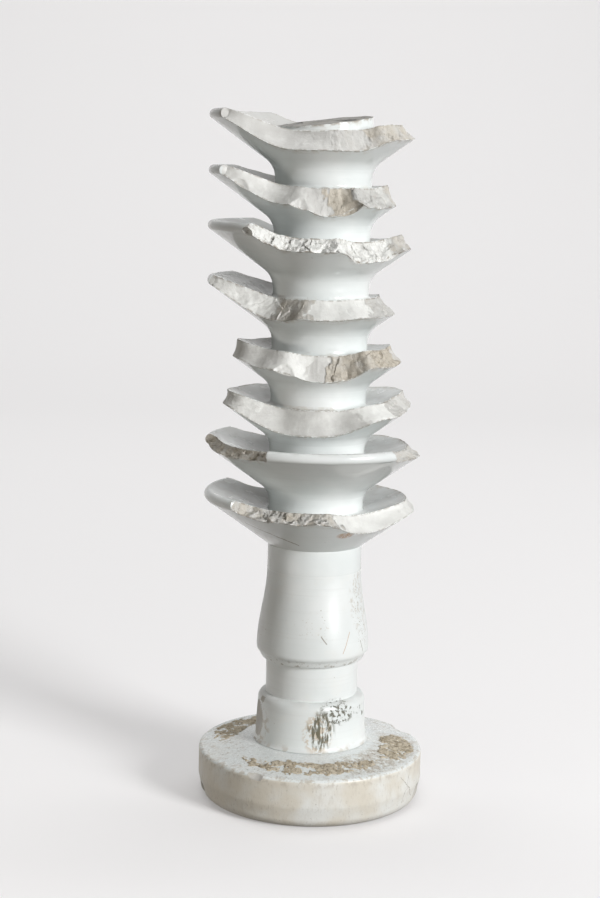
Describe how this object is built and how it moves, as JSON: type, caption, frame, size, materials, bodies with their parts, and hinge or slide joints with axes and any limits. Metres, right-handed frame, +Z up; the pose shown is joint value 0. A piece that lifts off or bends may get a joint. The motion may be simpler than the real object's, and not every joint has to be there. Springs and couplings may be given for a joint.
{
  "type": "long-rod porcelain insulator",
  "caption": "Broken porcelain long-rod insulator: solid core with chipped cup-shaped sheds, bell, neck and collar, standing on its head flange",
  "frame": {"origin": "centre of the head flange's lower face", "axes": "+Z up along the core; -Y towards the front, where the sheds are broken deepest; +X to the right"},
  "size_m": [0.204, 0.204, 0.6175],
  "materials": {
    "glaze": "glossy bluish-white glaze, bare off-white clay on the broken faces",
    "flange_body": "glazed top, matt cream side with dirt streaks",
    "broken_clay": "matt fired clay, grey-beige, freshly broken grain",
    "cement": "rough sandy cement residue"
  },
  "bodies": {
    "root": {"base_flange": "flange_body", "collar": "glaze", "neck": "glaze", "bell_skirt": "glaze", "trunk_8": "glaze", "trunk_7": "glaze", "trunk_6": "glaze", "trunk_5": "glaze", "trunk_4": "glaze", "trunk_3": "glaze", "trunk_2": "glaze", "trunk_1": "glaze", "shed_8": "glaze", "shed_7": "glaze", "shed_6": "glaze", "shed_5": "glaze", "shed_4": "glaze", "shed_3": "glaze", "shed_2": "glaze", "shed_1": "glaze", "broken_top": "broken_clay", "cement_front": "cement", "cement_right": "cement", "cement_back_left": "cement"}
  },
  "joints": []
}
